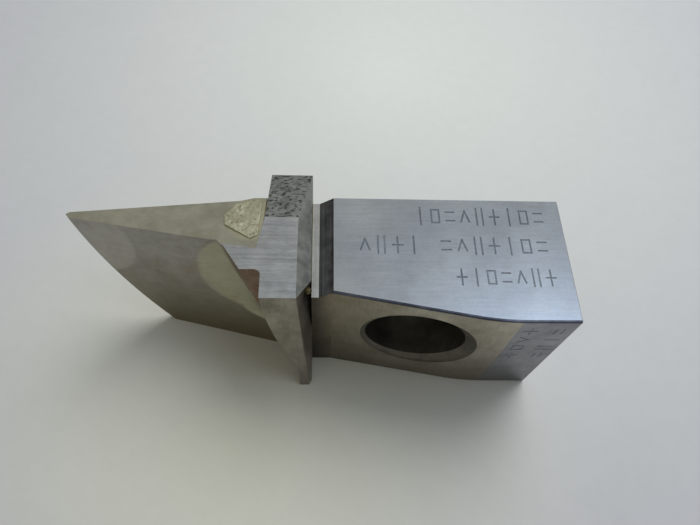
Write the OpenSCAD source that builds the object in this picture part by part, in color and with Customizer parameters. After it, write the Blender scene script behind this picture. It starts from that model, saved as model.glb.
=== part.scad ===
// Inserted cutter blade: a bolted shank block, a neck, a flange and one form-relieved tooth.
// The origin lies on the bolt bore's axis where it meets the back seat face.
// X runs away from the tooth, Y out of the seat face and Z up through the marked top face.

/* [Shank block] */
// Length of the block from the neck to its far end
block_length = 30; // [28:0.5:40]
// Depth of the block from the seat face to its flat front
block_depth = 17.5; // [17:0.1:19]
// Depth of the block where its sloping front reaches the neck
neck_depth = 13.8; // [13.4:0.1:14.4]
// Height from the bottom face to the marked top face
blade_height = 23.5; // [23:0.5:26]
// Height of the bore's axis above the bottom face
bore_height = 13.1; // [12.5:0.1:14]
// Distance from the neck end of the block to the bore's axis
bore_to_neck = 11.25; // [11:0.25:13]
// Diameter of the bolt bore
bore_diameter = 13.5; // [10:0.5:14]
// Diameter of the countersink at the front mouth of the bore
countersink_diameter = 15.9; // [15:0.1:17]
// Full angle of the countersink, which is square to the sloping front
countersink_angle = 120; // [90:5:130]
// Distance from the bore's axis to the corner between the two fronts
front_corner = 9; // [8:0.5:11]
// Radius that blends the sloping front into the flat front
front_blend = 36; // [20:1:40]

/* [Neck] */
// Length of the neck between the block and the flange
neck_length = 2.7; // [2.4:0.1:3.4]
// Length of the flat floor of the groove across the neck
groove_floor = 0.9; // [0.6:0.1:1.4]
// Depth of the groove below the top face
groove_depth = 1.4; // [1.2:0.1:1.8]
// Length of the tenon that enters the flange
tenon_length = 3.05; // [2:0.05:3.1]
// Width of the tenon along the neck's depth
tenon_width = 8.5; // [6:0.5:9]
// Height of the tenon
tenon_height = 8.4; // [6:0.2:9]

/* [Flange] */
// Thickness of the flange at its top
flange_thickness = 6.2; // [6:0.1:7]
// How far the flange's tooth side slopes back at once, over the full height
flange_lean = 1.5; // [1:0.1:2]
// How far the slope grows, over the full height
flange_curve = 5.6; // [5:0.1:5.8]
// Share of the height at which the slope ends in a fillet
flange_slope_end = 0.68; // [0.6:0.01:0.7]
// Radius of the fillet that ends the slope
foot_fillet = 12.4; // [8:0.1:12.4]
// Distance from the seat plane to the flange's front edge, at the top
front_reach_top = 14.55; // [14.2:0.05:15]
// Distance from the seat plane to the flange's front edge, at the foot
front_reach_foot = 18.1; // [17.5:0.1:19]
// Distance from the seat plane to the back edge of the ground top
ground_back = 3.05; // [2.8:0.05:3.4]
// How far the ear reaches behind the seat plane, at the top
ear_reach_top = 4.65; // [3:0.05:5]
// How far the ear reaches behind the seat plane, at the foot
ear_reach_foot = 0.95; // [0.5:0.05:1.5]
// How far the ear's rough top falls towards the back
ear_drop = 1.35; // [0.5:0.05:1.6]
// Angle by which the ear narrows towards the back
ear_taper = 3.6; // [2:0.1:4]
// Width of the bevel on the flange's top edge beside the groove
top_bevel = 1.75; // [1.5:0.05:1.8]

/* [Cutting tooth] */
// Distance from the bore's axis to the tip of the tooth
tip_reach = 45.7; // [43:0.1:47]
// Distance from the seat plane to the front corner of the tip
tip_inset = 2.5; // [2.2:0.1:2.8]
// Angle of the front flank at the top
flank_angle = 11; // [10.6:0.1:11.2]
// How much steeper the front flank is at the bottom
flank_twist = 2.1; // [1.6:0.1:2.4]
// Relief of the tip at once, over the full height
relief_start = 4.81; // [4.4:0.01:5]
// Growth of that relief, over the full height
relief_growth = 5.08; // [4.6:0.01:5.2]
// Sideways relief of the tooth, over the full height
side_relief = 4.92; // [4.6:0.01:5.2]
// Angle of the rake facet, falling towards the tip
rake_angle = 2.5; // [1:0.1:3]
// Depth of the rake facet below the marked top face, at the root
rake_recess = 0.25; // [0.15:0.05:0.4]
// Widest reach of the shallow scoop along the root
scoop_width = 6.3; // [5:0.1:7]
// Depth of the scoop at the root
scoop_depth = 0.6; // [0.3:0.05:0.8]

/* [Braze] */
// Thickness of the braze in each joint
braze_gap = 0.1; // [0.1:0.01:0.15]
// Radius of the filler drop left at the top of the neck joint
drop_radius = 0.45; // [0.4:0.01:0.5]

/* [Hidden] */
$fn = 96;
beyond = 40;                                    // reach of the solids that only cut
bottom_z = -bore_height;
top_z = blade_height - bore_height;

// Shank block and neck
block_start = -bore_to_neck;
neck_start = block_start - neck_length;
slope = atan((block_depth - neck_depth) / (front_corner + bore_to_neck));
blend_steps = 10;
tangent = front_blend * tan(slope / 2);
blend_centre = [front_corner + tangent, front_blend - block_depth];
mouth_depth = countersink_diameter / 2 / tan(countersink_angle / 2);
mouth_shift = 0.4;                              // from the bore's axis, along the sloping front
tenon_front = -11;
tenon_bottom = -1;

// Flange
flange_right = neck_start - braze_gap;
flange_left = flange_right - flange_thickness;
flange_steps = 16;
fillet_steps = 6;
foot_lean = atan((flange_lean + 2 * flange_curve * flange_slope_end) / blade_height);
taper_start = -5;
fin_point = [-14.05, -13.9, 0];                 // a point on the plane that thins the fin
fin_turn = -26.9;
fin_tilt = 6.8;

// Tooth and web, as distances from the origin at the level of the marked top face
levels = 24;
tip_front = [-tip_reach, -tip_inset];
tip_nose = [-0.45, 0.56];                       // from the tip's front corner to its nose
tip_back = [0.03, 0.85];                        // from the tip's front corner to the back flank
back_root = [-23.54, -0.33];
back_bulge = [-21.7, 0.08];
back_end = [-19, 0];
web_tip = [-25.3, -7.04];
web_corner = [-22.85, -10.69];
web_fillet = 0.9;
web_fillet_centre = [-21.1, -11.57];
web_inner = [-21, -7.7];
web_back = [-20.08, -3.05];
web_end = -18.5;
tooth_end = [-19, -9.3];
root_limit = -15;                               // the root stops inside the flange
rake_root = -21;
scoop_middle = 0.375;                           // share of the height at the scoop's middle
scoop_half = 0.36;
strip_reach = 0.9;                              // width of the strip between scoop and web
least_width = 1.3;

// Braze
pad_top = 10.33;
drop_place = [-14.35, -12.9, 9];

// Relief of the tooth at a share of the height below the top face
function relief(share) = [relief_start * share + relief_growth * share * share, -side_relief * share];
function level_z(share) = top_z - blade_height * share;
function placed(points, share) =
    [for (p = points) [p.x + relief(share).x, p.y + relief(share).y, level_z(share)]];
function arc(centre, radius, from, to, steps) =
    [for (i = [0 : steps]) let (a = from + (to - from) * i / steps)
        centre + radius * [cos(a), sin(a)]];

// Half width of a round scoop at a share of the height, as a share of its widest
function scoop_share(share) = sqrt(max(0, 1 - pow((share - scoop_middle) / scoop_half, 2)));

// Front flank: how far it lies from the seat plane at a distance from the tip's front corner
function flank_y(share, x) = tip_front.y - tan(flank_angle + flank_twist * share) * (x - tip_front.x);

// Plan outline of the tooth at a share of the height, before the relief moves it
function tooth_outline(share) =
    let (
        wide = max(least_width, scoop_width * scoop_share(share)),
        deep = scoop_depth * scoop_share(share),
        scoop_left = web_tip.x - wide,
        strip_left = web_tip.x - strip_reach
    )
    concat(
        [tip_front],
        [for (i = [0 : 4]) let (t = i / 4, x = scoop_left + (strip_left - scoop_left) * t)
            [x, flank_y(share, x) + deep * sin(90 * t)]],
        [web_tip, tooth_end, back_end, back_bulge, back_root, tip_front + tip_back, tip_front + tip_nose]
    );

// Plan outline of the web that backs the tooth's root
web_outline = concat(
    [web_tip, web_corner],
    arc(web_fillet_centre, web_fillet, 90, 0, 6),
    [[web_end, web_fillet_centre.y], [web_end, web_back.y], web_back, web_inner]
);

// Corners of the two outlines' cap pieces, by their place in the outline
tooth_caps = [[0, 1, 10, 11, 12], [10, 1, 2, 3, 4, 5, 6, 7, 8, 9]];
web_caps = [[12, 0, 1, 2, 3, 4, 5], [10, 11, 12, 5, 6, 7, 8, 9]];

// A solid through stacked outlines, from the top one down. Each cap is a list of pieces,
// and a piece lists its corners anticlockwise from one that sees all the others.
module stacked(outlines, caps) {
    count = len(outlines[0]);
    last = len(outlines) - 1;
    points = [for (outline = outlines) for (p = outline) p];
    top = [for (piece = caps) concat([piece[0]], [for (i = [len(piece) - 1 : -1 : 1]) piece[i]])];
    base = [for (piece = caps) [for (i = piece) last * count + i]];
    sides = [for (k = [0 : last - 1]) for (i = [0 : count - 1])
        let (a = k * count + i, b = k * count + (i + 1) % count)
        for (face = [[a, b, b + count], [a, b + count, a + count]]) face];
    polyhedron(points, concat(top, sides, base), convexity = 6);
}

module shank_plan() {
    polygon(concat(
        [[block_start, 0], [block_start, -neck_depth]],
        arc(blend_centre, front_blend, 270 - slope, 270, blend_steps),
        [[block_start + block_length, -block_depth], [block_start + block_length, 0]]
    ));
}

module bolt_bore() {
    rotate([90, 0, 0]) translate([0, 0, -1]) cylinder(h = beyond, d = bore_diameter);
    translate([0, -neck_depth - bore_to_neck * tan(slope), 0]) rotate([90, 0, -slope])
        translate([mouth_shift, 0, -mouth_depth])
            cylinder(h = 2 * mouth_depth, d1 = 0, d2 = 2 * countersink_diameter);
}

module neck() {
    rotate([90, 0, 0]) linear_extrude(neck_depth) polygon([
        [block_start, bottom_z], [block_start, top_z],
        [neck_start + groove_floor, top_z - groove_depth],
        [neck_start, top_z - groove_depth], [neck_start, bottom_z]
    ]);
}

module tenon(room = 0) {
    translate([neck_start - tenon_length - room, tenon_front - room, tenon_bottom - room])
        cube([tenon_length + room, tenon_width + 2 * room, tenon_height + 2 * room]);
}

module shank_block() {
    color("slategray") {
        difference() {
            translate([0, 0, bottom_z]) linear_extrude(blade_height) shank_plan();
            bolt_bore();
        }
        neck();
        tenon();
    }
}

// The flange's side view, as a slab that runs past it at the front and back
module flange_side_view() {
    slope_end_x = flange_left + flange_lean * flange_slope_end
        + flange_curve * pow(flange_slope_end, 2);
    slope_side = [for (i = [0 : flange_steps]) let (s = flange_slope_end * i / flange_steps)
        [flange_left + flange_lean * s + flange_curve * s * s, level_z(s)]];
    foot_side = [for (i = [1 : fillet_steps]) let (a = foot_lean * (1 - i / fillet_steps))
        [slope_end_x + foot_fillet * (cos(a) - cos(foot_lean)),
         level_z(flange_slope_end) - foot_fillet * (sin(foot_lean) - sin(a))]];
    foot_x = foot_side[fillet_steps - 1].x;
    translate([0, beyond / 2, 0]) rotate([90, 0, 0]) linear_extrude(beyond) polygon(concat(
        slope_side, foot_side,
        [[foot_x, bottom_z], [flange_right, bottom_z], [flange_right, top_z - groove_depth],
         [flange_right - top_bevel, top_z]]
    ));
}

// The slab with its back narrowed as the ear is
module flange_slab() {
    difference() {
        flange_side_view();
        translate([flange_left, taper_start, 0]) rotate([0, 0, -ear_taper])
            translate([-beyond, 0, -beyond / 2]) cube([beyond, beyond, beyond]);
    }
}

// The flange's end view, as a bar that runs past it on both sides
module flange_end_view() {
    translate([-beyond, 0, 0]) rotate([90, 0, 90]) linear_extrude(beyond) polygon([
        [-front_reach_top, top_z], [-front_reach_foot, bottom_z], [ear_reach_foot, bottom_z],
        [ear_reach_top, top_z - ear_drop], [-ground_back, top_z]
    ]);
}

// Everything outside the slanting plane that thins the flange's front fin
module fin_space() {
    translate(fin_point) rotate([0, -fin_tilt, fin_turn])
        translate([0, -beyond / 2, -beyond / 2]) cube([beyond, beyond, beyond]);
}

module root_room() {
    translate([root_limit - beyond, -beyond / 2, bottom_z]) cube([beyond, beyond, blade_height]);
}

module web() {
    intersection() {
        stacked([for (k = [0 : levels]) placed(web_outline, k / levels)], web_caps);
        root_room();
    }
}

module flange_plate() {
    color("darkgray") difference() {
        union() {
            intersection() {
                flange_slab();
                flange_end_view();
            }
            web();
        }
        fin_space();
        tenon(braze_gap);
    }
}

// The space that the web, the flange and the braze take out of the tooth's root
module root_joint() {
    translate([-braze_gap, braze_gap, 0]) web();
    translate([-braze_gap, 0, 0]) flange_slab();
}

module above_rake() {
    translate([rake_root, 0, top_z - rake_recess]) rotate([0, -rake_angle, 0])
        translate([-beyond, -beyond / 2, 0]) cube([2 * beyond, beyond, beyond / 2]);
}

module tooth_blank() {
    difference() {
        intersection() {
            stacked([for (k = [0 : levels]) placed(tooth_outline(k / levels), k / levels)], tooth_caps);
            root_room();
        }
        above_rake();
    }
}

module cutting_tooth() {
    color("dimgray") difference() {
        tooth_blank();
        root_joint();
    }
}

module braze_pad() {
    color("darkkhaki") intersection() {
        linear_extrude(pad_top) polygon([
            [-25.4, -2.9], [-24.1, -1.1], [-21.6, -0.35], [-20.5, -0.4],
            [-20.85, -5.7], [-21.8, -6.3], [-25.2, -4.2]
        ]);
        above_rake();
    }
}

module tooth_braze_seam() {
    color("goldenrod") difference() {
        intersection() {
            tooth_blank();
            root_joint();
        }
        web();
        flange_slab();
    }
}

module tenon_braze_seam() {
    color("goldenrod") {
        difference() {
            union() {
                tenon(braze_gap);
                translate([flange_right, -neck_depth, bottom_z])
                    cube([braze_gap, neck_depth, blade_height - groove_depth]);
            }
            tenon();
            fin_space();
        }
        intersection() {
            fin_space();
            translate(drop_place) sphere(drop_radius);
            translate([neck_start - beyond, -beyond / 2, 0]) cube([beyond, beyond, beyond]);
        }
    }
}

shank_block();
flange_plate();
cutting_tooth();
braze_pad();
tooth_braze_seam();
tenon_braze_seam();
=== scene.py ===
import bpy, bmesh, math
from mathutils import Matrix, Vector, noise


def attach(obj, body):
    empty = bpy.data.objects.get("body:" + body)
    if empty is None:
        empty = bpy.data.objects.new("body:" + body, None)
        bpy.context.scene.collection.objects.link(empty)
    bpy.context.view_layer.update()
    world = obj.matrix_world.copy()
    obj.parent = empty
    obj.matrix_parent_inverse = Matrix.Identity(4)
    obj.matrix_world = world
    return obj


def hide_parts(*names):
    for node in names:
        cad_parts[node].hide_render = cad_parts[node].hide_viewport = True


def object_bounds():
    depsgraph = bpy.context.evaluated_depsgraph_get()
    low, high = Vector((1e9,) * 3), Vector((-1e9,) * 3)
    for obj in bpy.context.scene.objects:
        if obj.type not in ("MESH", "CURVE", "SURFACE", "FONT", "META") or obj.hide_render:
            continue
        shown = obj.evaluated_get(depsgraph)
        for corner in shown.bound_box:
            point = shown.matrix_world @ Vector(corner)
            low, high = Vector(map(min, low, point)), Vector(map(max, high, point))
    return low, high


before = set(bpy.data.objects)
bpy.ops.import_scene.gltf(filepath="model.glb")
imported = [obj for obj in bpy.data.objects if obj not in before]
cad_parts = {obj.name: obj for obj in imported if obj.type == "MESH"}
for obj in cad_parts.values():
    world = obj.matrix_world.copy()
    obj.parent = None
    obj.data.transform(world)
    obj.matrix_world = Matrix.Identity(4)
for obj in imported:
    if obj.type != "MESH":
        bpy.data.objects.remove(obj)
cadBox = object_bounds()
mm = 0.001
print("stage: frame loaded", [list(corner) for corner in cadBox])


def tone(red, green, blue, gain=1.0):
    # a screen colour, 0 to 255, as the linear colour that shaders take
    def straight(value):
        value = value / 255
        return value / 12.92 if value <= 0.04045 else ((value + 0.055) / 1.055) ** 2.4
    return (straight(red) * gain, straight(green) * gain, straight(blue) * gain, 1)


def addNode(tree, kind, wires=None, **choices):
    made = tree.nodes.new(kind)
    for key, value in choices.items():
        setattr(made, key, value)
    for key, value in (wires or {}).items():
        socket = made.inputs[key]
        if isinstance(value, bpy.types.NodeSocket):
            tree.links.new(value, socket)
        else:
            socket.default_value = value
    return made


def mixColour(tree, amount, first, second, how="MIX"):
    return addNode(tree, "ShaderNodeMix", {0: amount, 6: first, 7: second}, data_type="RGBA",
        blend_type=how).outputs[2]


def ramp(tree, value, low, high, toLow=0.0, toHigh=1.0):
    return addNode(tree, "ShaderNodeMapRange", {0: value, 1: low, 2: high, 3: toLow, 4: toHigh},
        clamp=True).outputs[0]


def sums(tree, how, first, second):
    return addNode(tree, "ShaderNodeMath", {0: first, 1: second}, operation=how).outputs[0]


def grainNoise(tree, place, scale, stretch=(1, 1, 1), turn=(0, 0, 0), detail=4.0, rough=0.6, bend=0.0):
    # scale is in waves per millimetre, and stretch squeezes them along each axis
    laid = addNode(tree, "ShaderNodeMapping", {0: place, 2: [math.radians(a) for a in turn],
        3: [s * scale * 1000 for s in stretch]}, vector_type="POINT")
    return addNode(tree, "ShaderNodeTexNoise", {"Vector": laid.outputs[0], "Scale": 1.0, "Detail": detail,
        "Roughness": rough, "Distortion": bend}).outputs[0]


def metalFinish(name, look):
    # one metal surface: patches, fades, spots, grain and pits, each drawn only where look names it
    finish = bpy.data.materials.new(name)
    finish.use_nodes = True
    tree = finish.node_tree
    tree.nodes.clear()
    place = addNode(tree, "ShaderNodeTexCoord").outputs["Object"]
    parts = addNode(tree, "ShaderNodeSeparateXYZ", {0: place}).outputs
    wander = grainNoise(tree, place, look.get("patchScale", 0.25), detail=5)
    colour = mixColour(tree, ramp(tree, wander, 0.36, 0.64), look["dark"], look["light"])
    for fade in look.get("fades", []):  # a slow change of colour along one axis, in millimetres
        along = ramp(tree, parts[fade["axis"]], fade["start"] * mm, fade["end"] * mm, 0, fade.get("amount", 1))
        colour = mixColour(tree, along, colour, fade["colour"])
    for spot in look.get("spots", []):  # a patch of joined circles seen square to one axis, with a wandering edge
        flat = addNode(tree, "ShaderNodeVectorMath", {0: place, 1: spot["keep"]}, operation="MULTIPLY").outputs[0]
        ragged = grainNoise(tree, place, spot.get("ragScale", 0.6), detail=3)
        ragged = sums(tree, "MULTIPLY", sums(tree, "SUBTRACT", ragged, 0.5), spot.get("rag", 0.6) * mm)
        inside = None
        for x, y, z, radius in spot["circles"]:
            away = addNode(tree, "ShaderNodeVectorMath", {0: flat, 1: (x * mm, y * mm, z * mm)},
                operation="DISTANCE").outputs["Value"]
            part = ramp(tree, sums(tree, "ADD", away, ragged), (radius + spot["soft"]) * mm,
                (radius - spot["soft"]) * mm, 0, spot.get("amount", 1))
            inside = part if inside is None else sums(tree, "MAXIMUM", inside, part)
        colour = mixColour(tree, inside, colour, spot["colour"])
    for stain in look.get("stains", []):  # blotches of another colour
        blot = grainNoise(tree, place, stain["scale"], stain.get("stretch", (1, 1, 1)), detail=6, rough=0.65,
            bend=stain.get("bend", 0.4))
        colour = mixColour(tree, ramp(tree, blot, stain["from"], stain["to"], 0, stain.get("amount", 1)), colour,
            stain["colour"])
    height = None
    for cut in look.get("grain", []):  # drawn-out scratches of the wheel or the brush
        line = grainNoise(tree, place, cut["scale"], cut.get("stretch", (1, 1, 1)), cut.get("turn", (0, 0, 0)),
            detail=3, rough=0.7)
        shade = ramp(tree, line, 0.3, 0.7, 1 - cut["tint"], 1 + cut["tint"])
        grey = addNode(tree, "ShaderNodeCombineXYZ", {0: shade, 1: shade, 2: shade}).outputs[0]
        colour = mixColour(tree, 1.0, colour, grey, "MULTIPLY")
        part = sums(tree, "MULTIPLY", line, cut["depth"] * mm)
        height = part if height is None else sums(tree, "ADD", height, part)
    if "hollow" in look:  # hollows that the mesh really has, weighted in its own attribute
        sunk = addNode(tree, "ShaderNodeAttribute", attribute_type="GEOMETRY",
            attribute_name="hollow").outputs["Fac"]
        colour = mixColour(tree, sums(tree, "MULTIPLY", sunk, 0.85), colour, look["hollow"])
    for pit in look.get("pits", []):  # small dark hollows
        hole = grainNoise(tree, place, pit["scale"], pit.get("stretch", (1, 1, 1)), pit.get("turn", (0, 0, 0)),
            detail=2)
        sunk = ramp(tree, hole, pit["from"], pit["to"])
        colour = mixColour(tree, sums(tree, "MULTIPLY", sunk, pit.get("amount", 0.8)), colour, pit["colour"])
        part = sums(tree, "MULTIPLY", sunk, -pit["depth"] * mm)
        height = part if height is None else sums(tree, "ADD", height, part)
    rough = ramp(tree, grainNoise(tree, place, look.get("roughScale", 0.8), detail=5), 0.3, 0.7,
        look["rough"] - look["spread"], look["rough"] + look["spread"])
    shader = addNode(tree, "ShaderNodeBsdfPrincipled", {"Base Color": colour, "Roughness": rough,
        "Metallic": look["metal"]})
    shader.inputs["Specular IOR Level"].default_value = look.get("specular", 0.5)
    if height is not None:
        bump = addNode(tree, "ShaderNodeBump", {"Height": height, "Strength": look.get("bump", 0.6),
            "Distance": 1.0})
        tree.links.new(bump.outputs[0], shader.inputs["Normal"])
    addNode(tree, "ShaderNodeOutputMaterial", {0: shader.outputs[0]})
    finish.diffuse_color = look["light"]
    return finish


def mergedCopy(nodeName, flatAngle=0.3):
    # the CAD solid as clean faces, ready to bevel
    work = bmesh.new()
    work.from_mesh(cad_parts[nodeName].data)
    bmesh.ops.remove_doubles(work, verts=work.verts, dist=2e-6)
    if flatAngle:
        bmesh.ops.dissolve_limit(work, angle_limit=math.radians(flatAngle), use_dissolve_boundaries=False,
            verts=work.verts, edges=work.edges)
    return work


def easeEdges(work, width, chosen, segments=2):
    # bevels the chosen edges; width is in millimetres
    edges = [e for e in work.edges if len(e.link_faces) == 2 and chosen(e)]
    bmesh.ops.bevel(work, geom=edges, offset=width * mm, offset_type="OFFSET", affect="EDGES", segments=segments,
        profile=0.5, material=-1, clamp_overlap=True)


def cornerAngle(edge):
    # above 0 on an outside corner
    return math.degrees(edge.calc_face_angle_signed(0))


def settlePiece(work, name, node, finishes, chooser, sharp=32):
    work.normal_update()
    for face in work.faces:
        face.smooth = True
        face.material_index = chooser(face, face.calc_center_median() / mm, face.normal)
    for edge in work.edges:
        edge.smooth = not (len(edge.link_faces) == 2 and edge.calc_face_angle(0) > math.radians(sharp))
    mesh = bpy.data.meshes.new(name)
    work.to_mesh(mesh)
    work.free()
    for finish in finishes:
        mesh.materials.append(finish)
    piece = bpy.data.objects.new(name, mesh)
    bpy.context.scene.collection.objects.link(piece)
    even = piece.modifiers.new("evenShading", "WEIGHTED_NORMAL")
    even.keep_sharp = True
    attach(piece, "root")
    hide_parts(node)
    print("stage:", name, len(mesh.polygons), "faces")
    return piece


# the shank block, its neck and its marks
shank = {
    "top": 10.4, "bottom": -13.1, "front": -17.5, "neckStart": -11.2, "level": 0.02,
    "frontBevel": 0.3, "edgeBevel": 0.16, "markDepth": 0.05, "markStroke": 0.22,
    "ground": dict(dark=tone(204, 211, 224), light=tone(222, 229, 240), metal=1.0, rough=0.32, spread=0.03,
        patchScale=0.12,
                   grain=[dict(scale=0.35, stretch=(0.5, 9, 1), turn=(0, 0, 4), tint=0.06, depth=0.004),
                       dict(scale=3.0, stretch=(1, 1, 1), tint=0.05, depth=0.003)],
                   stains=[dict(scale=0.35, colour=tone(196, 200, 202), amount=0.3, **{"from": 0.52, "to": 0.72})]),
    "side": dict(dark=tone(164, 157, 140), light=tone(194, 188, 172), metal=0.9, rough=0.4, spread=0.06,
        patchScale=0.2,
                 grain=[dict(scale=0.5, stretch=(6, 1, 0.6), tint=0.1, depth=0.005)],
                 stains=[dict(scale=0.3, colour=tone(96, 84, 62), amount=0.5, **{"from": 0.5, "to": 0.75})],
                 # painted shade: these fades darken the front towards the neck groove and towards the bottom
                 fades=[dict(axis=0, start=-3, end=-11.2, colour=tone(136, 126, 104), amount=0.75),
                     dict(axis=2, start=5, end=-13, colour=tone(98, 86, 78), amount=0.8)]),
    "flat": dict(dark=tone(126, 126, 130), light=tone(150, 150, 154), metal=0.9, rough=0.4, spread=0.05,
        patchScale=0.25,
                 grain=[dict(scale=0.6, stretch=(5, 1, 0.7), tint=0.07, depth=0.004)],
                 # painted shade: this fade darkens the flat front towards the bottom
                 fades=[dict(axis=2, start=2, end=-12, colour=tone(104, 102, 102), amount=0.7)]),
    "slope": dict(dark=tone(58, 58, 60), light=tone(96, 96, 98), metal=0.8, rough=0.42, spread=0.06, patchScale=0.5,
                  grain=[dict(scale=0.4, stretch=(7, 0.12, 1), tint=0.5, depth=0.02)],
                  fades=[dict(axis=0, start=-11.6, end=-13.0, colour=tone(112, 112, 116), amount=0.5)]),
    "floor": dict(dark=tone(186, 186, 184), light=tone(214, 214, 212), metal=0.9, rough=0.38, spread=0.05,
        grain=[dict(scale=0.4, stretch=(7, 0.12, 1), tint=0.15, depth=0.006)]),
    "neck": dict(dark=tone(122, 112, 94), light=tone(150, 140, 120), metal=0.85, rough=0.45, spread=0.06,
        grain=[dict(scale=0.5, stretch=(6, 1, 0.4), tint=0.14, depth=0.008)],
                 # painted shade: these fades darken the neck into the groove beside the flange and towards the
                 # bottom
                 fades=[dict(axis=0, start=-11.3, end=-13.6, colour=tone(62, 54, 46), amount=0.9),
                     dict(axis=2, start=8, end=-12, colour=tone(46, 40, 34), amount=0.6)]),
    # painted shade: the dark colours of the countersink mouth and the bore wall paint the shade inside the hole
    "mouth": dict(dark=tone(84, 80, 72), light=tone(112, 108, 98), metal=0.85, rough=0.45, spread=0.06,
        grain=[dict(scale=0.9, tint=0.1, depth=0.006)]),
    "bore": dict(dark=tone(70, 68, 62), light=tone(98, 96, 90), metal=0.85, rough=0.45, spread=0.08,
        grain=[dict(scale=0.6, stretch=(1, 8, 1), tint=0.12, depth=0.01)]),
    "edge": dict(dark=tone(64, 66, 74), light=tone(96, 98, 108), metal=0.9, rough=0.35, spread=0.05,
        grain=[dict(scale=1.4, tint=0.1, depth=0.003)]),
    "etched": dict(dark=tone(142, 148, 158), light=tone(168, 174, 184), metal=0.95, rough=0.55, spread=0.08,
        pits=[dict(scale=6, colour=tone(60, 62, 70), depth=0.01, **{"from": 0.5, "to": 0.7})]),
}
# marks of the maker's rows: plain strokes in a cell one unit wide, from x, y to x, y
signs = [
    [(0.5, 0, 0.5, 1)],
    [(0.5, 0.05, 0.5, 0.95), (0.05, 0.5, 0.95, 0.5)],
    [(0.2, 0, 0.2, 1), (0.8, 0, 0.8, 1)],
    [(0.1, 0.2, 0.5, 0.85), (0.9, 0.2, 0.5, 0.85)],
    [(0.1, 0.25, 0.9, 0.25), (0.1, 0.75, 0.9, 0.75)],
    [(0.12, 0.12, 0.88, 0.12), (0.12, 0.88, 0.88, 0.88), (0.12, 0.12, 0.12, 0.88), (0.88, 0.12, 0.88, 0.88)],
]
# each row: first and last x, middle y, height, how many, first sign
topRows = [(-0.6, 17.0, -2.6, 2.6, 9, 0), (-8.0, 16.9, -7.0, 2.5, 12, 3), (4.0, 17.1, -11.5, 2.4, 7, 1)]


def addStroke(work, start, end, width, depth, seat):
    # one bar of the cutting tool, laid in the plane that seat gives
    run = Vector(end) - Vector(start)
    bar = bmesh.ops.create_cube(work, size=1.0)["verts"]
    bmesh.ops.scale(work, vec=(run.length + width, width, depth * 2), verts=bar)
    bmesh.ops.rotate(work, cent=(0, 0, 0), matrix=Matrix.Rotation(math.atan2(run.y, run.x), 3, "Z"), verts=bar)
    bmesh.ops.translate(work, vec=((start[0] + end[0]) / 2, (start[1] + end[1]) / 2, 0), verts=bar)
    bmesh.ops.transform(work, matrix=seat, verts=bar)


def markCutter():
    work = bmesh.new()
    topSeat = Matrix.Scale(mm, 4) @ Matrix.Translation((0, 0, shank["top"]))
    width, depth = shank["markStroke"], shank["markDepth"]
    for first, last, middle, high, count, offset in topRows:
        pitch = (last - first) / count
        for step in range(count):
            if count > 10 and step == 4:
                continue  # a gap in the long row
            for x0, y0, x1, y1 in signs[(step * 5 + offset) % len(signs)]:
                left, low, wide = first + step * pitch, middle - high / 2, pitch * 0.68
                addStroke(work, (left + x0 * wide, low + y0 * high), (left + x1 * wide, low + y1 * high), width,
                    depth, topSeat)
    # two short rows up the flat front
    frontSeat = Matrix.Scale(mm, 4) @ Matrix.Translation((0, shank["front"],
        0)) @ Matrix.Rotation(math.radians(90), 4, "X")
    for column, (first, count) in enumerate(((12.3, 4), (15.9, 4))):
        for step in range(count):
            for x0, y0, x1, y1 in signs[(step * 2 + column * 3 + 1) % len(signs)]:
                left, low = first, 6.6 - step * 2.9
                addStroke(work, (left + y0 * 1.9, low + x0 * 1.9), (left + y1 * 1.9, low + x1 * 1.9), width, depth,
                    frontSeat)
    mesh = bpy.data.meshes.new("markCutter")
    work.to_mesh(mesh)
    work.free()
    cutter = bpy.data.objects.new("markCutter", mesh)
    bpy.context.scene.collection.objects.link(cutter)
    return cutter


def engraved(work):
    # cuts the marks out of the block and gives back the cut mesh
    mesh = bpy.data.meshes.new("blockBlank")
    work.to_mesh(mesh)
    work.free()
    blank = bpy.data.objects.new("blockBlank", mesh)
    bpy.context.scene.collection.objects.link(blank)
    cutter = markCutter()
    cut = blank.modifiers.new("marks", "BOOLEAN")
    cut.operation, cut.solver, cut.object, cut.use_self = "DIFFERENCE", "EXACT", cutter, True
    bpy.context.view_layer.update()
    result = bmesh.new()
    result.from_object(blank, bpy.context.evaluated_depsgraph_get())
    for spare in (blank, cutter):
        bpy.data.objects.remove(spare)
    return result


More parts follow.
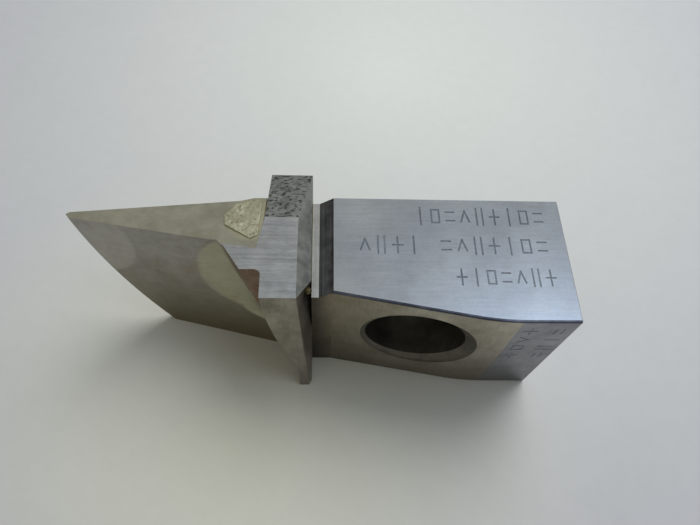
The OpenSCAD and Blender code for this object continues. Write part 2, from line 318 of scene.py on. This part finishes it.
def makeShank():
    work = mergedCopy("shank_block")

    def frontTop(edge):
        middle = (edge.verts[0].co + edge.verts[1].co) / 2 / mm
        return cornerAngle(edge) > 60 and middle.y < -12.5 and middle.x > -11 and min(abs(middle.z - shank["top"]),
            abs(middle.z - shank["bottom"])) < shank["level"]

    easeEdges(work, shank["frontBevel"], frontTop)
    easeEdges(work, shank["edgeBevel"],
        lambda e: cornerAngle(e) > 50 and e.calc_length() > 0.9 * mm and (e.verts[0].co.x > -11 * mm))
    work = engraved(work)

    def choose(face, centre, normal):
        fromBore = math.hypot(centre.x, centre.z)
        if abs(centre.z - shank["top"]) < 0.004 and normal.z > 0.99:
            return 0
        if (10.2 < centre.z < 10.397 and centre.y > -17.2 and centre.x > -10.9
                and (normal.z > 0.99 or abs(normal.z) < 0.01)
                and face.calc_area() < 4e-6 and centre.y < -0.3 and centre.x < 18.4):
            return 7
        if (12 < centre.x < 18.4 and -6 < centre.z < 9.6 and -17.497 < centre.y < -17.44
                and (normal.y < -0.9999 or abs(normal.y) < 0.02)):
            return 7
        if fromBore < 9.2 and normal.y > -0.975 and centre.y < -0.05 and abs(centre.z) < 9 and centre.y > -17.3:
            return 5 if abs(normal.y) < 0.3 else 9
        if centre.x < shank["neckStart"] and normal.z < 0.3:
            return 8
        if normal.z < -0.99 or normal.y > 0.9 or normal.x > 0.9:
            return 0
        if centre.x < shank["neckStart"] and normal.z > 0.3:
            return 4 if normal.z > 0.97 else 3
        if normal.y < -0.9999:
            return 2
        if normal.y < -0.2 and abs(normal.z) < 0.1:
            return 1
        if abs(normal.z) > 0.1 and abs(normal.y) > 0.1:
            return 6
        return 2

    finishes = [metalFinish(name, shank[key]) for name,
        key in (("groundTop", "ground"), ("millFront", "side"), ("flatFront", "flat"), ("grooveSlope", "slope"),
            ("grooveFloor", "floor"), ("boredWallPaintedShade", "bore"), ("easedEdge", "edge"), ("etchedMark", "etched"),
                ("neckWall", "neck"), ("boreMouthPaintedShade", "mouth"))]
    return settlePiece(work, "shankBody", "shank_block", finishes, choose)


# the flange, with the web that backs the tooth
flange = {
    "edgeBevel": 0.14, "hollowStep": 0.13, "hollowDepth": 0.09,
    "ground": dict(dark=tone(202, 206, 212), light=tone(224, 228, 234), metal=1.0, rough=0.34, spread=0.05,
        patchScale=0.3,
                   grain=[dict(scale=0.35, stretch=(0.25, 7, 1), turn=(0, 0, 9), tint=0.2, depth=0.02),
                       dict(scale=1.6, stretch=(0.7, 2.4, 1), turn=(0, 0, 9), tint=0.1, depth=0.008)]),
    "bevel": dict(dark=tone(112, 112, 106), light=tone(142, 142, 136), metal=0.9, rough=0.4, spread=0.06,
        grain=[dict(scale=1.0, stretch=(5, 0.6, 1), tint=0.18, depth=0.01)]),
    "forged": dict(dark=tone(138, 140, 136), light=tone(172, 174, 170), metal=0.85, rough=0.5, spread=0.1,
        patchScale=0.6,
                   grain=[dict(scale=0.7, tint=0.16, depth=0.05)],
                   hollow=tone(66, 64, 58)),
    "side": dict(dark=tone(128, 122, 110), light=tone(164, 158, 146), metal=0.85, rough=0.42, spread=0.06,
                 grain=[dict(scale=0.6, stretch=(5, 1, 0.7), tint=0.1, depth=0.006)],
                 # painted shade: this fade darkens the flange side towards the bottom
                 fades=[dict(axis=2, start=4, end=-12, colour=tone(132, 126, 120), amount=0.7)]),
    "slot": dict(dark=tone(112, 94, 78), light=tone(140, 122, 104), metal=0.8, rough=0.45, spread=0.08,
        grain=[dict(scale=0.7, stretch=(1, 1, 4), tint=0.1, depth=0.01)],
                 stains=[dict(scale=0.4, colour=tone(122, 88, 68), amount=0.5, **{"from": 0.45, "to": 0.65})]),
    "edge": dict(dark=tone(150, 150, 146), light=tone(188, 188, 184), metal=0.9, rough=0.35, spread=0.06,
        grain=[dict(scale=1.4, tint=0.12, depth=0.004)]),
}


def isEar(face):
    centre = face.calc_center_median() / mm
    return face.normal.z > 0.5 and centre.y > -3.2 and abs(face.normal.x) < 0.05


def hollowEar(work):
    # cuts the ear's face into a fine net and sinks short ragged hollows into it
    faces = [f for f in work.faces if isEar(f) and f.calc_area() > 3e-6]
    step = flange["hollowStep"]
    for axis, low, high in (((1, 0, 0), -20.3, -14), ((0, 1, 0), -3.2, 4.7)):
        for cut in range(1, int((high - low) / step)):
            spot = Vector(axis) * (low + cut * step) * mm
            geom = list({item for f in faces for item in (*f.verts, *f.edges)}) + faces
            made = bmesh.ops.bisect_plane(work, geom=geom, dist=1e-7, plane_co=spot, plane_no=axis)
            faces = [g for g in made["geom"] if isinstance(g, bmesh.types.BMFace)]
    layer = work.verts.layers.float.new("hollow")
    netFaces = set(faces)
    work.normal_update()
    for vert in {v for f in faces for v in f.verts}:
        if not all(f in netFaces for f in vert.link_faces):
            continue
        x, y = vert.co.x / mm, vert.co.y / mm
        ragged = noise.noise((x * 1.5 + y * 0.3, y * 4.2, 3)) + 0.5 * noise.noise((x * 3.1, y * 6.0, 8))
        depth = max(0.0, min(1.0, (ragged - 0.08) / 0.2))
        vert[layer] = depth
        vert.co.z -= (depth * flange["hollowDepth"] + 0.012 * abs(noise.noise((x * 2, y * 2, 1)))) * mm
    print("stage: ear net", len(faces), "faces")


def makeFlange():
    work = mergedCopy("flange_plate")
    easeEdges(work, flange["edgeBevel"], lambda e: cornerAngle(e) > 40 and e.calc_length() > 0.7 * mm)
    work.normal_update()
    hollowEar(work)

    def choose(face, centre, normal):
        if normal.z > 0.995:
            return 0
        if normal.z > 0.5 and centre.y > -3.2:
            return 2
        if normal.y < -0.3 and ((abs(normal.x) < 0.02 and 0.18 < normal.z < 0.23)
                                or (normal.x < -0.05 and centre.x < -18.6)):
            return 5
        if normal.z > 0.3 and normal.x > 0.2:
            return 1
        if abs(normal.z) > 0.25 and face.calc_area() < 3e-6:
            return 4
        return 3

    finishes = [metalFinish(name, flange[key]) for name,
        key in (("groundFlangeTop", "ground"), ("flangeBevel", "bevel"), ("forgedEar", "forged"),
            ("flangeSide", "side"), ("flangeEdge", "edge"), ("slotSide", "slot"))]
    return settlePiece(work, "flangePlate", "flange_plate", finishes, choose)


# the cutting tooth
tooth = {
    "edgeBevel": 0.07,
    "rake": dict(dark=tone(184, 182, 166), light=tone(206, 204, 188), metal=0.95, rough=0.4, spread=0.05,
        patchScale=0.3,
                 grain=[dict(scale=0.8, stretch=(1.5, 5, 1), tint=0.05, depth=0.003)],
                 stains=[dict(scale=0.3, stretch=(0.3, 1.5, 1), colour=tone(176, 170, 140), amount=0.35,
                     **{"from": 0.5, "to": 0.7})],
                 spots=[dict(keep=(1, 1, 0), circles=[(-21.8, -3.2, 0, 3.1)], soft=0.3, rag=1.2,
                     colour=tone(222, 217, 184), amount=0.75)]),
    "flank": dict(dark=tone(152, 149, 142), light=tone(168, 165, 158), metal=0.85, rough=0.4, spread=0.06,
        patchScale=0.3,
                  # painted shade: this fade darkens and warms the flank towards the bottom
                  fades=[dict(axis=2, start=6, end=-12, colour=tone(122, 110, 82), amount=0.85)],
                  spots=[dict(keep=(1, 0, 1), circles=[(-22, 0, 3.3, 7.45), (-19.5, 0, -1.2, 5.4)], soft=0.25,
                      rag=0.3, colour=tone(188, 184, 158), amount=0.62),
                         dict(keep=(1, 0, 1), circles=[(-44.6, 0, 5.2, 6.8)], soft=0.25, rag=0.3,
                             colour=tone(188, 184, 174), amount=0.45)],
                  stains=[dict(scale=0.28, colour=tone(150, 116, 76), amount=0.4, **{"from": 0.56, "to": 0.74}),
                          dict(scale=0.5, colour=tone(116, 108, 108), amount=0.3, **{"from": 0.54, "to": 0.74})],
                  grain=[dict(scale=0.6, stretch=(0.7, 1, 5), tint=0.07, depth=0.006)]),
    "back": dict(dark=tone(150, 147, 138), light=tone(172, 169, 160), metal=0.9, rough=0.38, spread=0.05,
        patchScale=0.2, grain=[dict(scale=0.5, stretch=(0.6, 1, 5), tint=0.08, depth=0.006)],
                 # painted shade: this fade darkens the tooth back towards the bottom
                 fades=[dict(axis=2, start=4, end=-12, colour=tone(138, 128, 106), amount=0.6)]),
    "web": dict(dark=tone(186, 190, 190), light=tone(212, 216, 216), metal=0.95, rough=0.36, spread=0.05,
        grain=[dict(scale=0.35, stretch=(0.25, 6, 1), turn=(0, 0, 9), tint=0.14, depth=0.012)]),
    # partly painted shade, partly rust: the slot wall's dark brown base colour is painted shade of the slot, and
    # the orange stains are rust
    "scoop": dict(dark=tone(116, 92, 70), light=tone(146, 120, 94), metal=0.75, rough=0.45, spread=0.08,
        grain=[dict(scale=0.7, stretch=(1, 1, 4), tint=0.1, depth=0.01)],
                  stains=[dict(scale=0.5, colour=tone(140, 76, 44), amount=0.6, **{"from": 0.48, "to": 0.7})]),
    "edge": dict(dark=tone(170, 166, 150), light=tone(206, 202, 186), metal=0.95, rough=0.32, spread=0.05,
        grain=[dict(scale=1.4, tint=0.1, depth=0.003)]),
}


def makeTooth():
    work = mergedCopy("cutting_tooth", 0)
    easeEdges(work, tooth["edgeBevel"], lambda e: cornerAngle(e) > 45 and e.calc_length() > 0.5 * mm, 1)

    def choose(face, centre, normal):
        if normal.z > 0.9:
            return 2 if centre.z > 10.35 else 0
        if centre.x > -23 and normal.z < 0.5 and normal.x > 0.3:
            return 3
        if face.calc_area() < 4e-8 and normal.z > 0.3:
            return 4
        if normal.y > 0.05:
            return 5
        return 1

    finishes = [metalFinish(name, tooth[key]) for name,
        key in (("rakeFacet", "rake"), ("toothFlank", "flank"), ("webTop", "web"), ("slotWallShadeAndRust", "scoop"),
            ("cuttingEdge", "edge"), ("toothBack", "back"))]
    return settlePiece(work, "toothBlade", "cutting_tooth", finishes, choose)


# the brazing: the rough pad and the two seams
braze = {
    "voxel": 0.1, "lump": 0.09,
    "pad": dict(dark=tone(190, 186, 158), light=tone(216, 212, 184), metal=0.85, rough=0.48, spread=0.12,
        patchScale=0.7,
                grain=[dict(scale=1.8, tint=0.12, depth=0.012)],
                pits=[dict(scale=2.2, colour=tone(132, 124, 96), depth=0.02, amount=0.6,
                    **{"from": 0.58, "to": 0.68})]),
    "seam": dict(dark=tone(88, 78, 52), light=tone(126, 114, 80), metal=0.8, rough=0.5, spread=0.1,
        grain=[dict(scale=1.6, tint=0.15, depth=0.01)]),
}


def makePad():
    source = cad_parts["braze_pad"]
    work = bmesh.new()
    work.from_mesh(source.data)
    bmesh.ops.remove_doubles(work, verts=work.verts, dist=2e-6)
    mesh = bpy.data.meshes.new("padBlank")
    work.to_mesh(mesh)
    work.free()
    blank = bpy.data.objects.new("padBlank", mesh)
    bpy.context.scene.collection.objects.link(blank)
    melt = blank.modifiers.new("melt", "REMESH")
    melt.mode, melt.voxel_size = "VOXEL", braze["voxel"] * mm
    bpy.context.view_layer.update()
    lumps = bmesh.new()
    lumps.from_object(blank, bpy.context.evaluated_depsgraph_get())
    bpy.data.objects.remove(blank)
    for turn in range(2):
        bmesh.ops.smooth_vert(lumps, verts=lumps.verts, factor=0.5, use_axis_x=True, use_axis_y=True,
            use_axis_z=True)
    lumps.normal_update()
    shifts = [(v, v.normal * (noise.noise(v.co / mm * 0.9) - 0.35 + 0.5 * noise.noise(v.co / mm * 2.6))
               * braze["lump"] * mm) for v in lumps.verts]
    for vert, shift in shifts:
        vert.co += shift
        vert.co.z = min(vert.co.z, 10.395 * mm)
    finish = [metalFinish("fillerPad", braze["pad"])]
    return settlePiece(lumps, "brazePad", "braze_pad", finish, lambda face, centre, normal: 0, 180)


makeShank()
makeFlange()
makeTooth()
makePad()
seamFinish = metalFinish("brassSeam", braze["seam"])
for seamName in ("tooth_braze_seam", "tenon_braze_seam"):
    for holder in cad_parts[seamName].material_slots:
        holder.material = seamFinish
print("stage: brazing done")

# the floor, lights and camera
room = {
    "air": tone(200, 199, 190), "airPower": 0.56,
    "lights": [
        dict(name="backWindow", place=(0.16, 0.26, 0.45), size=0.4, power=2.8, colour=(0.94, 0.97, 1.0),
            inGloss=False),
        dict(name="overheadGlow", place=(0.185, 0.0, 0.465), size=0.27, power=0.5, colour=(0.66, 0.8, 1.0),
            inGloss=True),
    ],
    "cameraPlace": (-0.01284, -0.04377, 0.07325), "cameraTurn": (28.52, -2.83, -0.84), "lens": 29.67,
}


def makeFloor():
    work = bmesh.new()
    bmesh.ops.create_grid(work, x_segments=8, y_segments=8, size=0.9)
    bmesh.ops.translate(work, vec=(0, 0, cadBox[0][2] - 0.00002), verts=work.verts)
    mesh = bpy.data.meshes.new("paleFloor")
    work.to_mesh(mesh)
    work.free()
    # painted light: the paper is painted bright in a broad pool round the middle and darker towards the edges, and
    # a warm lighter glow is painted into the shadow at the object's front left
    sheet = metalFinish("palePaperPaintedLight", dict(dark=tone(162, 161, 167), light=tone(166, 165, 170), metal=0.0,
        rough=0.75, spread=0.05, patchScale=0.02, specular=0.25,
                                          spots=[dict(keep=(1, 1, 0), circles=[(0, 48, 0, 62)], soft=62, rag=0,
                                              colour=tone(202, 203, 197)),
                                                 dict(keep=(1, 1, 0), circles=[(-24, -26, 0, 28)], soft=26, rag=0,
                                                     colour=tone(200, 197, 176), amount=0.7)],
                                          grain=[dict(scale=0.5, tint=0.015, depth=0.01)]))
    mesh.materials.append(sheet)
    floor = bpy.data.objects.new("paleFloor", mesh)
    bpy.context.scene.collection.objects.link(floor)


def makeLights():
    for lamp in room["lights"]:
        data = bpy.data.lights.new(lamp["name"], "AREA")
        data.shape, data.size, data.energy, data.color = "DISK", lamp["size"], lamp["power"], lamp["colour"]
        light = bpy.data.objects.new(lamp["name"], data)
        light.location = lamp["place"]
        light.rotation_euler = (-Vector(lamp["place"])).to_track_quat("-Z", "Y").to_euler()
        light.visible_glossy = lamp["inGloss"]  # the steel mirrors only the soft overhead glow
        bpy.context.scene.collection.objects.link(light)
    world = bpy.data.worlds.new("studioAir")
    world.use_nodes = True
    back = world.node_tree.nodes["Background"]
    back.inputs[0].default_value, back.inputs[1].default_value = room["air"], room["airPower"]
    bpy.context.scene.world = world


def makeCamera():
    data = bpy.data.cameras.new("benchCamera")
    data.lens, data.sensor_width, data.sensor_fit, data.clip_start = room["lens"], 36, "HORIZONTAL", 0.001
    camera = bpy.data.objects.new("benchCamera", data)
    camera.location = room["cameraPlace"]
    camera.rotation_euler = [math.radians(a) for a in room["cameraTurn"]]
    bpy.context.scene.collection.objects.link(camera)
    bpy.context.scene.camera = camera


makeFloor()
makeLights()
makeCamera()
bpy.context.scene.view_settings.view_transform = "Standard"
bpy.context.view_layer.update()
